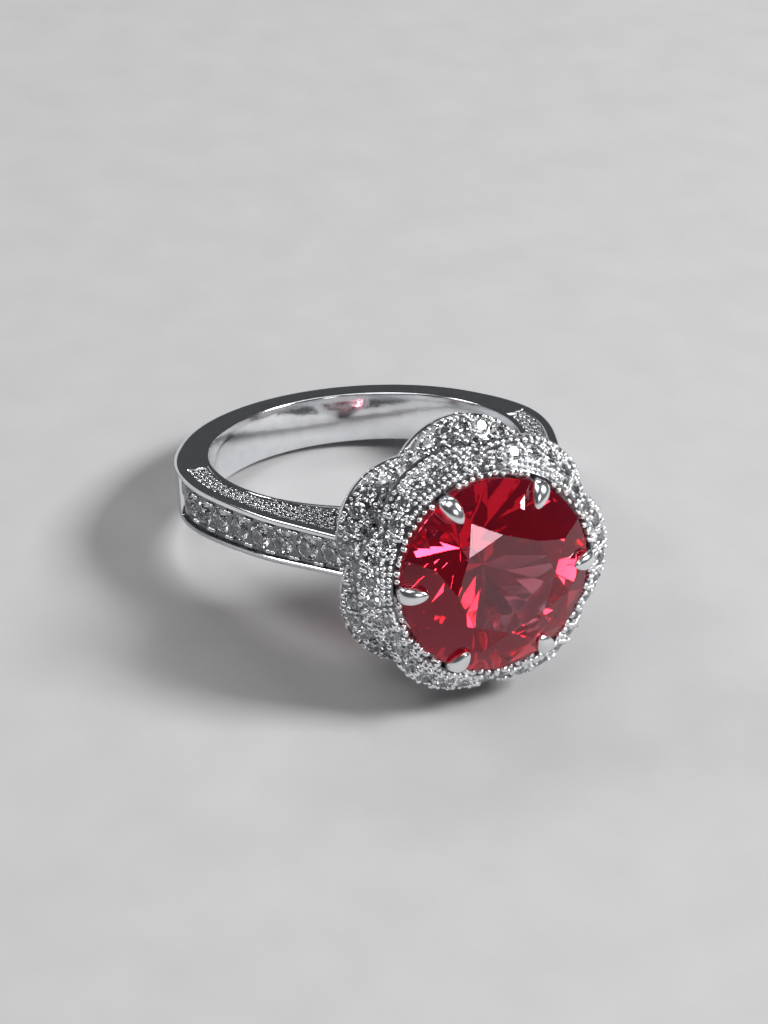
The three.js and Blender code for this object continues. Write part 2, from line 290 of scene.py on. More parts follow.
def brilliant(radius, table, crown, pavilion, girdle, rounding):
    """A round brilliant with its girdle at the origin and its table towards +Z.

    table and girdle are shares of the diameter, crown and pavilion slopes, and rounding the girdle
    corners per half facet.
    """
    eighth = 2 * math.pi / FACETS
    bend = math.cos(eighth / 2)
    tilt = math.cos(eighth / 4)
    half = girdle * radius
    table_radius = table * radius
    star_radius = table_radius * bend + STAR_SHARE * (radius - table_radius * bend)
    star_height = half + crown * (radius - star_radius * bend)
    lower_radius = (1 - LOWER_SHARE) * radius
    culet = -half - pavilion * radius
    lower_height = culet + pavilion * lower_radius * bend
    upper_fall = (star_height - half) / (radius - star_radius) / tilt
    lower_fall = (-half - lower_height) / (radius - lower_radius) / tilt
    points = [(0, 0, culet)]
    for i in range(FACETS):
        for r, angle, height in (
            (table_radius, i * eighth, half + crown * (radius - table_radius)),
            (star_radius, (i + 0.5) * eighth, star_height),
            (lower_radius, (i + 0.5) * eighth, lower_height),
        ):
            points.append((r * math.cos(angle), r * math.sin(angle), height))
    corners = 2 * FACETS * rounding
    for k in range(corners):
        angle = 2 * math.pi * k / corners
        off = angle % (eighth / 2) - eighth / 4
        dip = radius * (math.cos(off) - tilt)
        x, y = radius * math.cos(angle), radius * math.sin(angle)
        points.append((x, y, half - upper_fall * dip))
        points.append((x, y, -half + lower_fall * dip))
    return hull(points)


SMALL_CUT = brilliant(
    1.0, table=0.56, crown=math.tan(math.radians(34)), pavilion=math.tan(math.radians(41)),
    girdle=0.035, rounding=1,
)


def centre_cut():
    """The centre stone, in the head's frame."""
    half = (GIRDLE_TOP - GIRDLE_FOOT) / 2
    points, facets = brilliant(
        GIRDLE_RADIUS, TABLE_RADIUS / GIRDLE_RADIUS, CROWN_SLOPE, PAVILION_SLOPE,
        half / GIRDLE_RADIUS, rounding=4,
    )
    corner = table_corners[from_axis(table_corners).argmax()]
    turn = np.array(Matrix.Rotation(math.atan2(corner[2], corner[1]), 3, "Z"))
    points = points @ turn.T
    points[:, 2] += (GIRDLE_TOP + GIRDLE_FOOT) / 2
    return points, facets


def cad_stone(name):
    """A small CAD stone's girdle centre, axis and radius."""
    points = np.unique(node_points(name).round(4), axis=0)
    middle = points.mean(0)
    axis = np.linalg.svd(points - middle)[2][2]
    along = (points - middle) @ axis
    if along.max() > -along.min():
        axis, along = -axis, -along
    radial = np.linalg.norm(points - middle - np.outer(along, axis), axis=1)
    girdle = along[radial > radial.max() - GIRDLE_SLACK].mean()
    return middle + axis * girdle, axis, radial.max()


def turned(profile, sides):
    """A solid turned about +Z from an outline of (radius, height), foot first."""
    turn = 2 * math.pi * np.arange(sides) / sides
    rings = [
        np.stack([r * np.cos(turn), r * np.sin(turn), np.full(sides, height)], 1)
        for r, height in profile
    ]
    return loft(rings)


SEAT_SIDES = 20
SEAT_POINT = 0.16
SEAT_DEPTH = 0.98
SEAT_EASE = 1.02
SEAT_LEDGE = 0.07
SEAT_OPENING = 0.6


def seat(radius):
    """A drilled seat round a stone of a radius, open towards +Z."""
    wall = SEAT_EASE * radius
    return turned([
        (SEAT_POINT * radius, -SEAT_DEPTH * radius), (wall, -SEAT_LEDGE * radius), (wall, SEAT_OPENING),
    ], SEAT_SIDES)


GRAIN_SIDES = 10
GRAIN_OUTLINE = ((0.44, -0.9), (0.9, -0.4), (1.0, 0.15), (0.83, 0.55), (0.5, 0.85), (0.2, 0.97))


def bead(radius):
    """A grain of metal: a low dome, rounded below too."""
    return turned([(r * radius, height * radius) for r, height in GRAIN_OUTLINE], GRAIN_SIDES)


# ---------- the shank ----------

def quadratic(start, control, end, share):
    """A point of a quadratic curve."""
    start, control, end = (np.array(p, float) for p in (start, control, end))
    return (1 - share) ** 2 * start + 2 * share * (1 - share) * control + share ** 2 * end


def lengths_along(points):
    """How far each point of a path lies from its start, along it."""
    return np.concatenate([[0], np.cumsum(np.linalg.norm(np.diff(points, axis=0), axis=1))])


def normals_of(points, side):
    """Unit normals of a path, turned so that they agree with side, one direction or one for each."""
    along = np.gradient(points, axis=0)
    along /= np.linalg.norm(along, axis=1)[:, None]
    normals = np.stack([-along[:, 1], along[:, 0]], 1)
    return normals * np.sign((normals * side).sum(1))[:, None]


ARC_STEPS = 240
CURVE_STEPS = 80


def shoulder_edge(step):
    """The outer edge of one shoulder, from the back of the band to the tip on +Y.

    Gives evenly spaced points, their outward normals and their distances along the edge.
    """
    arc = [
        BAND_RADIUS * np.array([math.cos(a), math.sin(a)])
        for a in np.linspace(math.pi, SHOULDER_START, ARC_STEPS)
    ]
    shares = np.linspace(0, 1, CURVE_STEPS)
    curve = [quadratic(arc[-1], SHOULDER_CONTROL, SHOULDER_BEND, t) for t in shares]
    corners = np.array(arc + curve[1:] + [np.array([TIP_X, TIP_OUTER])])
    lengths = lengths_along(corners)
    places = np.linspace(0, lengths[-1], int(lengths[-1] / step) + 1)
    points = np.stack([np.interp(places, lengths, corners[:, k]) for k in (0, 1)], 1)
    return points, normals_of(points, points), places


def at_place(edge, place):
    """An edge's point and normal at a distance along it."""
    points, normals, places = edge
    return [np.array([np.interp(place, places, rows[:, k]) for k in (0, 1)]) for rows in (points, normals)]


def half_width(x):
    """The band's half width, which narrows towards the head."""
    return BAND_HALF + (TIP_HALF - BAND_HALF) * min(max(x / TIP_X, 0), 1)


BORE_ROUND = 0.09
EDGE_ROUND = 0.13
BACK_ROUND = 0.42
BACK_BLEND = 4.0
BORE_RIM = 0.27
OUTER_RIM = 0.5
RECESS_DEPTH = 0.12
CHANNEL_SHARE = 0.755
CHANNEL_DEPTH = 0.2
CHANNEL_STOP = 0.45
NICK = 0.035
STONES_START = (math.pi - STONED_FROM) * BAND_RADIUS


def shank_section(inner, outer, normal, width, recess, channel, corner=EDGE_ROUND, reach=1.0):
    """One station round the band: a closed loop of points.

    inner and outer are its points on the bore and on the outer edge, width its half width, recess and
    channel the depths of the side panel and of the stones' channel, corner the radius of the outer
    edges, and reach a share by which the outer side's details shrink where the band is thin.
    """
    away = inner / np.linalg.norm(inner)
    half = [(inner, 0.0), (inner, width - BORE_ROUND)]
    for turn in range(30, 91, 30):
        a = math.radians(turn)
        rise = BORE_ROUND * (1 - math.cos(a))
        half.append((inner + away * rise, width - BORE_ROUND * (1 - math.sin(a))))
    cheek = width - recess
    half += [
        (inner + away * BORE_RIM, width),
        (inner + away * (BORE_RIM + NICK), width - min(NICK, recess)),
        (inner + away * (BORE_RIM + 2 * NICK), cheek),
        (outer - normal * (OUTER_RIM + 2 * NICK) * reach, cheek),
        (outer - normal * (OUTER_RIM + NICK) * reach, width - min(NICK, recess)),
        (outer - normal * OUTER_RIM * reach, width),
    ]
    for turn in range(0, 91, 15):
        a = math.radians(turn)
        inset = corner * (1 - math.sin(a))
        half.append((outer - normal * inset * reach, width - corner * (1 - math.cos(a))))
    rail = CHANNEL_SHARE * width
    half += [
        (outer, min(rail, width - corner) + NICK),
        (outer - normal * min(NICK, channel), rail),
        (outer - normal * channel, rail - NICK / 2),
        (outer - normal * channel, 0.0),
    ]
    upper = [(p[0], p[1], z) for p, z in half]
    lower = [(p[0], p[1], -z) for p, z in reversed(half[1:-1])]
    return np.array(upper + lower)


STATION_STEP = 0.3
WALL_HALF = 0.02


def shank_stations():
    """Every station from the middle of the back over +Y to the middle of the saddle."""
    edge = shoulder_edge(STATION_STEP)
    channel_end = edge[2][-1] - CHANNEL_STOP
    stations = [(place, point, normal) for point, normal, place in zip(*edge)]
    for wall in (STONES_START, channel_end):
        for side in (-1, 1):
            place = wall + side * WALL_HALF
            point, normal = at_place(edge, place)
            stations.append((place, point, normal / np.linalg.norm(normal)))
    stations.sort(key=lambda station: station[0])
    sections = []
    for place, point, normal in stations:
        angle = math.atan2(point[1], point[0])
        stoned = place > STONES_START
        recess = RECESS_DEPTH if stoned and angle > RECESS_END else 0.0
        channel = CHANNEL_DEPTH if stoned and place < channel_end else 0.0
        inner = BORE_RADIUS * np.array([math.cos(angle), math.sin(angle)])
        width = half_width(point[0])
        blend = min(max((STONES_START - place) / BACK_BLEND, 0.0), 1.0)
        corner = EDGE_ROUND + (BACK_ROUND - EDGE_ROUND) * blend
        sections.append(shank_section(inner, point, normal, width, recess, channel, corner))
    return sections + saddle_sections(angle)


SADDLE_STEPS = 12
FLAT_STEPS = 6
SADDLE_FACING = np.array([1.0, -0.2])
TIP_TURN = 0.03
TIP_REACH = 0.25
REACH_GROWTH = 0.5


def saddle_sections(tip_angle):
    """Stations from the inner corner of a tip, down the saddle, to its middle."""
    seat_x = BASE_FOOT - JOINT_GAP
    corner = np.array([TIP_X, TIP_INNER])
    shares = np.linspace(0, 1, SADDLE_STEPS)
    curve = [quadratic(corner, SADDLE_CONTROL, (seat_x, SADDLE_HALF), t) for t in shares]
    flat = [np.array([seat_x, y]) for y in np.linspace(SADDLE_HALF, 0, FLAT_STEPS)[1:]]
    path = np.array(curve + flat)
    lengths = lengths_along(path)
    sections = []
    for point, normal, length in zip(path, normals_of(path, SADDLE_FACING), lengths):
        angle = (tip_angle - TIP_TURN) * (1 - length / lengths[-1])
        inner = BORE_RADIUS * np.array([math.cos(angle), math.sin(angle)])
        width = half_width(point[0])
        reach = min(1.0, TIP_REACH + REACH_GROWTH * length)
        sections.append(shank_section(inner, point, normal, width, 0.0, 0.0, reach=reach))
    return sections


RECESS_SLACK = 0.05
TIP_SLACK = 0.1


def in_shaded_recess(centres):
    """Which points of the shank's surface lie in a channel, a side recess or a seat, where the metal is
    painted dark as shade.
    """
    path, normals, places = shoulder_edge(step=0.1)
    flat = np.stack([centres[:, 0], np.abs(centres[:, 1])], 1)
    nearest = np.linalg.norm(flat[:, None] - path[None], axis=2).argmin(1)
    depth = ((path[nearest] - flat) * normals[nearest]).sum(1)
    sunk = np.array([half_width(x) for x in centres[:, 0]]) - np.abs(centres[:, 2])
    far = np.linalg.norm(flat, axis=1)
    along = places[nearest]
    stoned = (along > STONES_START) & (along < places[-1] - TIP_SLACK)
    return stoned & (depth > RECESS_SLACK) & (sunk > RECESS_SLACK) & (far > BORE_RADIUS + BORE_RIM)


def shank_body():
    """The band and both shoulders, without the seats."""
    half = shank_stations()
    mirror = [section * np.array([1, -1, 1]) for section in reversed(half[1:-1])]
    body = Body()
    body.add(*loft(half + mirror, loop=True))
    return body


def channel_row(label):
    """Names and places of one shoulder's channel stones, from the back to the head."""
    names = sorted(n for n in frame["nodes"] if n.startswith(f"{label}_shoulder_stone"))
    return names, [cad_stone(name) for name in names]


CHANNEL_GRAIN = 0.15
CHANNEL_GRAIN_STRETCH = np.array([1.3, 0.85, 1.0])
GRAIN_LINE = 0.7
GRAIN_SPACE = 0.16
GRAIN_LIFT = 0.13


def channel_beads(body, row):
    """Paired long grains at the junctions of the channel stones, on both of their edges."""
    points, faces = bead(CHANNEL_GRAIN)
    points = points * CHANNEL_GRAIN_STRETCH
    steps = [second[0] - first[0] for first, second in zip(row, row[1:])]
    junctions = [(first[0] + step / 2, first[1], step) for first, step in zip(row, steps)]
    junctions.append((row[-1][0] + steps[-1] / 2, row[-1][1], steps[-1]))
    for middle, axis, step in junctions:
        along = step / np.linalg.norm(step)
        for side in (-1, 1):
            for shift in (-1, 1):
                place = middle + along * shift * GRAIN_SPACE + np.array([0, 0, side * GRAIN_LINE])
                turn = np.stack([along, np.cross(axis, along), axis], 1)
                body.add(points @ turn.T + place + axis * GRAIN_LIFT, faces)


SIDE_STONE = 0.24
SIDE_PITCH = 0.57
SIDE_ROWS = 7
SIDE_ROW_PITCH = 0.5
SIDE_MARGIN = 0.08
SIDE_FIRST = 0.06
SIDE_EASE = 0.02
SIDE_SINK = 0.02
SIDE_END = RECESS_END + 0.05


def side_places():
    """Places of one panel's small stones, in rows below the outer edge, as points of the ring's plane."""
    edge = shoulder_edge(step=0.05)
    found = []
    for row in range(SIDE_ROWS):
        inset = OUTER_RIM + SIDE_MARGIN + SIDE_STONE + row * SIDE_ROW_PITCH
        place = STONES_START + SIDE_FIRST + SIDE_STONE + (row % 2) * SIDE_PITCH / 2
        while place < edge[2][-1]:
            point, normal = at_place(edge, place)
            spot = point - inset * normal
            angle = math.atan2(spot[1], spot[0])
            room = np.linalg.norm(spot) - BORE_RADIUS - BORE_RIM + SIDE_EASE
            if room > SIDE_STONE and angle > SIDE_END:
                found.append(spot)
            place += SIDE_PITCH * np.linalg.norm(point) / max(np.linalg.norm(spot), 1)
    return found


def all_side_places():
    """The panel places on both shoulders and both faces, with their axes."""
    result = []
    for spot in side_places():
        level = half_width(spot[0]) - RECESS_DEPTH
        for side in (1, -1):
            for face in (1, -1):
                centre = np.array([spot[0], side * spot[1], face * (level - SIDE_SINK)])
                result.append((centre, np.array([0, 0, float(face)]), SIDE_STONE))
    return result


# ---------- the halos ----------

def lobed(angle, reach, arc_radius, turn):
    """Distance from the head's axis to the edge of a flower whose lobes are circular arcs."""
    pitch = 2 * math.pi / LOBES
    off = (angle - turn + pitch / 2) % pitch - pitch / 2
    centre = reach - arc_radius
    return centre * math.cos(off) + math.sqrt(arc_radius ** 2 - (centre * math.sin(off)) ** 2)


def top_edge(angle):
    """The top halo's edge at an angle."""
    return lobed(angle, TOP_REACH, TOP_ARC_RADIUS, 0.0)


def petal_edge(angle):
    """The petal halo's edge at an angle, half a lobe round from the top halo's."""
    return lobed(angle, PETAL_REACH, PETAL_ARC_RADIUS, PETAL_TURN)


RING_STEPS = 360
ROUND_STEPS = 96


def flower_ring(profile, edge, steps=RING_STEPS):
    """A ring round the head's axis. profile(edge radius) gives its section as (radius, height)."""
    sections = []
    for i in range(steps):
        angle = 2 * math.pi * i / steps
        section = np.array(profile(edge(angle)))
        sections.append(np.stack([
            section[:, 0] * math.cos(angle), section[:, 0] * math.sin(angle), section[:, 1],
        ], 1))
    return loft(sections, loop=True)


SKIRT_RADIUS = 5.7
TOP_THICKNESS = 0.7
TOP_UNDERSIDE = TOP_RIM - TOP_THICKNESS
TOP_BULGE = 0.08
PETAL_THICKNESS = 0.5
PAVE_SINK = 0.07
EDGE_INSET = 0.1


def top_level(r, edge):
    """Height of the top halo's domed face at a distance from the axis."""
    share = min(max((r - TOP_INNER) / (edge - TOP_INNER), 0), 1)
    return TOP_CREST + (TOP_RIM - TOP_CREST) * share + 4 * TOP_BULGE * share * (1 - share)


def top_profile(edge):
    """The top halo's section: up the skirt, round the rim and back over the face."""
    rim = edge - EDGE_INSET
    profile = [
        (TOP_INNER, SKIRT_FOOT), (SKIRT_RADIUS, SKIRT_FOOT), (SKIRT_RADIUS, TOP_UNDERSIDE),
        (edge - 0.25, TOP_UNDERSIDE), (edge - 0.12, TOP_UNDERSIDE + 0.04),
        (rim + 0.04, TOP_UNDERSIDE + 0.16), (rim + 0.03, TOP_RIM - 0.12),
        (rim - 0.03, top_level(rim - 0.03, edge) - PAVE_SINK),
    ]
    for share in (0.8, 0.6, 0.4, 0.2):
        r = TOP_INNER + share * (rim - TOP_INNER)
        profile.append((r, top_level(r, edge) - PAVE_SINK))
    return profile + [(TOP_INNER + 0.05, TOP_CREST - PAVE_SINK), (TOP_INNER, TOP_CREST - 0.14)]


def petal_level(r, edge):
    """Height of the petals' face at a distance from the axis."""
    inner = SKIRT_RADIUS + 0.1
    share = min(max((r - inner) / (edge - inner), 0), 1)
    return PETAL_CREST + (PETAL_RIM - PETAL_CREST) * share


def petal_profile(edge):
    """The petal halo's section: out along the underside, round the rim and back over the face."""
    rim = edge - EDGE_INSET
    foot = PETAL_RIM - PETAL_THICKNESS
    profile = [
        (PETAL_INNER, PETAL_FOOT), (min(6.1, edge - 0.5), PETAL_FOOT), (edge - 0.35, foot - 0.15),
        (rim - 0.06, foot - 0.04), (rim - 0.01, foot + 0.03), (rim + 0.02, PETAL_RIM - 0.14),
        (rim - 0.03, petal_level(rim, edge) - PAVE_SINK),
    ]
    inner = SKIRT_RADIUS + 0.15
    for share in (0.66, 0.33, 0.0):
        r = inner + share * (rim - 0.03 - inner)
        profile.append((r, petal_level(r, edge) - PAVE_SINK))
    profile += [(PETAL_INNER + 0.3, PETAL_CREST - PAVE_SINK), (PETAL_INNER, PETAL_CREST - 0.3)]
    return profile


RIM_SPREAD = 0.2
RIM_WANDER = 0.03
RIM_PITCH = 2.2
RIM_SLIDE = 0.06
RIM_LIFT = (-0.05, 0.01)
RIM_STEP = 0.005
UP = np.array([0, 0, 1])


def rim_grains(
    body, edge, inset, height, tilt, radius, spread=RIM_SPREAD, start=0.0, keep=None, wander=RIM_WANDER,
):
    """A row of grains along a flower's edge, tilted from straight up towards the outside.

    spread says how much the grains differ, wander how far they stray from the line, start where the
    row begins as a share of their pitch, and keep(angle) which of them there is room for.
    """
    def at(a):
        return (edge(a) - inset) * np.array([math.cos(a), math.sin(a), 0])
    shape = bead(radius)
    ring = [edge(a) - inset for a in np.linspace(0, 2 * math.pi, RING_STEPS + 1)]
    count = int(2 * math.pi * np.mean(ring) / (RIM_PITCH * radius))
    for angle in even_angles(edge, inset, count, start):
        if keep is not None and not keep(angle):
            continue
        before, after = at(angle - RIM_STEP), at(angle + RIM_STEP)
        along = (after - before) / np.linalg.norm(after - before)
        out = np.array([along[1], -along[0], 0])
        axis = math.sin(tilt) * out + math.cos(tilt) * UP
        place = (before + after) / 2 + height * UP
        place += along * DRAWS.uniform(-RIM_SLIDE, RIM_SLIDE) + axis * DRAWS.uniform(*RIM_LIFT)
        place += out * DRAWS.uniform(-wander, wander)
        set_grain(body, shape, place, axis, spread)


FACE_STEP = 0.01


def face_place(edge, level, angle, r):
    """A point of a halo's face and the face's normal there, in the head's frame."""
    def at(a, d):
        return np.array([d * math.cos(a), d * math.sin(a), level(d, edge(a)) - PAVE_SINK])
    point = at(angle, r)
    around = at(angle + FACE_STEP, r) - at(angle - FACE_STEP, r)
    out = at(angle, r + FACE_STEP) - at(angle, r - FACE_STEP)
    normal = np.cross(out, around)
    return point, normal / np.linalg.norm(normal)


EDGE_STEPS = 2000
STONE_RISE = 0.02


def even_angles(edge, inset, count, start=0.5):
    """Angles at which a row along a flower's edge is evenly spaced, the first start steps round."""
    fine = np.linspace(0, 2 * math.pi, EDGE_STEPS + 1)
    radii = np.array([edge(a) - inset for a in fine])
    lengths = lengths_along(np.stack([radii * np.cos(fine), radii * np.sin(fine)], 1))
    wanted = (np.arange(count) + start) * lengths[-1] / count
    return np.interp(wanted, lengths, fine)


def row_places(edge, level, inset, count, radius, keep=None):
    """Stones in a row at an inset from a flower's edge."""
    row = []
    for angle in even_angles(edge, inset, count):
        if keep is None or keep(angle):
            point, normal = face_place(edge, level, angle, edge(angle) - inset)
            row.append((point + normal * STONE_RISE, normal, radius))
    return row


FILL_GRAIN = 0.155
FILL_LIFT = 0.08
FILL_SPREAD = 0.25
STONE_GAP = 0.45
GRAIN_GAP = 1.75
LATTICE_STEP = 0.06


def scatter_beads(body, stones, surface):
    """Grains wherever there is room between the stones on a halo's face."""
    centres = np.array([s[0] for s in stones])
    radii = np.array([s[2] for s in stones])
    grains = []
    shape = bead(FILL_GRAIN)
    for point, normal in halo_lattice(surface):
        gaps = np.linalg.norm(centres - point, axis=1) - radii
        if gaps.min() < STONE_GAP * FILL_GRAIN:
            continue
        if grains and np.linalg.norm(np.array(grains) - point, axis=1).min() < GRAIN_GAP * FILL_GRAIN:
            continue
        grains.append(point)
        lift = normal * DRAWS.uniform(0.0, FILL_LIFT)
        set_grain(body, shape, point + lift, normal, FILL_SPREAD)


def halo_lattice(surface):
    """Points of a fine lattice over a halo's face, with the normals there.

    surface is the flower's edge, the face's height, its inner radius and how far it stays off the edge.
    """
    edge, level, low, margin = surface
    for r in np.arange(low, PETAL_REACH, LATTICE_STEP):
        count = int(2 * math.pi * r / LATTICE_STEP)
        for i in range(count):
            angle = 2 * math.pi * (i + 0.5) / count
            if r < edge(angle) - margin:
                yield face_place(edge, level, angle, r)


# ---------- the claw basket ----------

# One claw from foot to tip: distance from the axis, height, half width, half thickness.
CLAW_PATH = [
    (2.83, 10.1, 0.36, 0.26), (3.0, 10.7, 0.36, 0.25), (3.5, 12.0, 0.37, 0.25), (4.15, 13.7, 0.38, 0.25),
    (4.72, 15.2, 0.39, 0.24), (4.93, 16.0, 0.39, 0.23), (4.98, 16.7, 0.37, 0.22), (4.98, 17.15, 0.4, 0.25),
    (4.9, 17.42, 0.45, 0.31), (4.74, 17.6, 0.46, 0.32), (4.5, 17.74, 0.43, 0.3), (4.26, 17.85, 0.35, 0.24),
    (4.05, 17.93, 0.24, 0.16), (3.9, 17.97, 0.1, 0.06),
]
CLAW_COUNT = 6
CLAW_STEPS = 4
CLAW_SIDES = 24
CLAW_SQUARE = 0.9
CLAW_REACH = 5.2
CLAW_BEND = 14.2
STONE_CLEAR = 0.02
HEIGHT_CLEAR = 0.01
# Rings of the basket: inner and outer radius, foot and top, radius of the corners.
BASE_RING = (2.35, 3.15, BASE_FOOT, BASE_FOOT + 0.72, 0.1)
RAIL = (4.1, 4.72, 15.45, 16.05, 0.12)


def clear_of_stone(points):
    """Moves points of the head's frame that lie in the centre stone out to its surface."""
    moved = points.copy()
    for point in moved:
        r = math.hypot(point[0], point[1])
        inset = GIRDLE_RADIUS + STONE_CLEAR - r
        over = GIRDLE_TOP + HEIGHT_CLEAR + inset * CROWN_SLOPE
        under = GIRDLE_FOOT - HEIGHT_CLEAR - inset * PAVILION_SLOPE
        if inset <= 0 or not under < point[2] < over:
            continue
        if point[2] > (GIRDLE_TOP + GIRDLE_FOOT) / 2:
            point[2] = over
        elif inset < point[2] - under:
            point[:2] *= (GIRDLE_RADIUS + STONE_CLEAR) / r
        else:
            point[2] = under
    return moved


def smooth_path(rows, steps):
    """Rows joined by a Catmull-Rom curve, with steps places on each stretch."""
    rows = np.array(rows, float)
    padded = np.vstack([2 * rows[0] - rows[1], rows, 2 * rows[-1] - rows[-2]])
    result = []
    for i in range(1, len(padded) - 2):
        a, b, c, d = padded[i - 1:i + 3]
        for t in np.arange(steps) / steps:
            result.append(0.5 * (
                2 * b + (c - a) * t + (2 * a - 5 * b + 4 * c - d) * t * t
                + (3 * b - a - 3 * c + d) * t ** 3
            ))
    return np.array(result + [rows[-1]])


def rounded_square(turn):
    """Across and out, each from -1 to 1, of a slightly squared circle."""
    return [
        math.copysign(abs(share) ** CLAW_SQUARE, share) for share in (math.cos(turn), math.sin(turn))
    ]


def claw_shape():
    """One claw in the plane of the head's axis and +X."""
    rows = smooth_path(CLAW_PATH, CLAW_STEPS)
    along = np.gradient(rows[:, :2], axis=0)
    along /= np.linalg.norm(along, axis=1)[:, None]
    sections = []
    for (r, height, width, thick), (dr, dh) in zip(rows, along):
        section = []
        for k in range(CLAW_SIDES):
            across, out = rounded_square(2 * math.pi * k / CLAW_SIDES)
            section.append((r + dh * thick * out, width * across, height - dr * thick * out))
        sections.append(np.array(section))
    points, faces = loft(sections)
    reach = np.hypot(points[:, 0], points[:, 1])
    shrink = np.where((reach > CLAW_REACH) & (points[:, 2] > CLAW_BEND), CLAW_REACH / reach, 1.0)
    points[:, :2] *= shrink[:, None]
    return clear_of_stone(points), faces


def round_ring(inner, outer, low, high, corner):
    """A turned ring with rounded corners."""
    profile = []
    for r, h, start in (
        (outer - corner, low + corner, -90), (outer - corner, high - corner, 0),
        (inner + corner, high - corner, 90), (inner + corner, low + corner, 180),
    ):
        for k in range(4):
            a = math.radians(start + 30 * k)
            profile.append((r + corner * math.cos(a), h + corner * math.sin(a)))
    return flower_ring(lambda edge: profile, lambda angle: 0.0, ROUND_STEPS)


def basket_body():
    """Six claws on a base ring, joined by a rail."""
    body = Body()
    claw, faces = claw_shape()
    for i in range(CLAW_COUNT):
        turn = np.array(Matrix.Rotation(i * 2 * math.pi / CLAW_COUNT, 3, "Z"))
        body.add(from_head(claw @ turn.T), faces)
    for sizes in (BASE_RING, RAIL):
        points, faces = round_ring(*sizes)
        body.add(from_head(points), faces)
    return body


# ---------- materials ----------

# Pairs of tones that a material drifts between.
BRIGHT = ((0.84, 0.85, 0.87), (0.92, 0.925, 0.94))
BRIGHTEST = ((0.86, 0.87, 0.89), (0.95, 0.955, 0.965))
# Painted shade: the dark tones of the metal in recesses and between stones.
PAINTED_SHADE_TONES = ((0.2, 0.205, 0.215), (0.29, 0.295, 0.305))
COLOURLESS = ((0.93, 0.95, 0.98), (1.0, 1.0, 1.0))
ROSY = ((1.0, 0.86, 0.9), (1.0, 0.95, 0.96))
PAPER = ((0.42, 0.42, 0.425), (0.46, 0.46, 0.465))


def new_material(name):
    """A material, its node tree and its shader."""
    material = bpy.data.materials.new(name)
    material.use_nodes = True
    tree = material.node_tree
    return material, tree, tree.nodes["Principled BSDF"]


def noise(tree, scale, detail):
    """A noise texture in the object's own coordinates. scale is features per millimetre."""
    place = tree.nodes.new("ShaderNodeTexCoord")
    texture = tree.nodes.new("ShaderNodeTexNoise")
    texture.inputs["Scale"].default_value = scale / MM
    texture.inputs["Detail"].default_value = detail
    tree.links.new(place.outputs["Object"], texture.inputs["Vector"])
    return texture


def ramp(tree, source, low, high, start=0.35, end=0.65):
    """Colours from low to high between two values of a source."""
    node = tree.nodes.new("ShaderNodeValToRGB")
    node.color_ramp.elements[0].position = start
    node.color_ramp.elements[1].position = end
    node.color_ramp.elements[0].color = (*low, 1)
    node.color_ramp.elements[1].color = (*high, 1)
    tree.links.new(source, node.inputs["Fac"])
    return node


DENT_DEPTH = 0.02 * MM


def white_gold(name, tones, rough, dents):
    """Rhodium-bright white gold: a polish with faint clouds of wear and hairline dents."""
    material, tree, shader = new_material(name)
    shader.inputs["Metallic"].default_value = 1.0
    clouds = noise(tree, scale=1.3, detail=3.0)
    tint = ramp(tree, clouds.outputs["Fac"], *tones)
    tree.links.new(tint.outputs["Color"], shader.inputs["Base Color"])
    wear = noise(tree, scale=5.0, detail=4.0)
    polish = tree.nodes.new("ShaderNodeMapRange")
    polish.inputs["To Min"].default_value, polish.inputs["To Max"].default_value = rough
    tree.links.new(wear.outputs["Fac"], polish.inputs["Value"])
    tree.links.new(polish.outputs["Result"], shader.inputs["Roughness"])
    relief = noise(tree, scale=2.2, detail=2.0)
    bump = tree.nodes.new("ShaderNodeBump")
    bump.inputs["Strength"].default_value = dents
    bump.inputs["Distance"].default_value = DENT_DEPTH
    tree.links.new(relief.outputs["Fac"], bump.inputs["Height"])
    tree.links.new(bump.outputs["Normal"], shader.inputs["Normal"])
    return material


def gemstone(name, tones, index):
    """A clear faceted stone with a faint drift of colour."""
    material, tree, shader = new_material(name)
    shader.inputs["Transmission Weight"].default_value = 1.0
    shader.inputs["IOR"].default_value = index
    shader.inputs["Roughness"].default_value = 0.0
    drift = noise(tree, scale=0.8, detail=1.0)
    tint = ramp(tree, drift.outputs["Fac"], *tones)
    tree.links.new(tint.outputs["Color"], shader.inputs["Base Color"])
    return material, tree, shader


CRIMSON = (0.9, 0.04, 0.21, 1)
RUBY_DENSITY = 380.0
RUBY_PAINTED_GLOW = (1.0, 0.03, 0.15, 1)
RUBY_SHEEN = (0.75, 0.5, 0.57, 1)
TABLE_HAZE = 0.06
TABLE_CLEARNESS = 0.94
# Painted shade: the table facet's colour is scaled down to this share.
TABLE_PAINTED_SHADE = 0.35
TABLE_FACING = (0.97, 0.99)


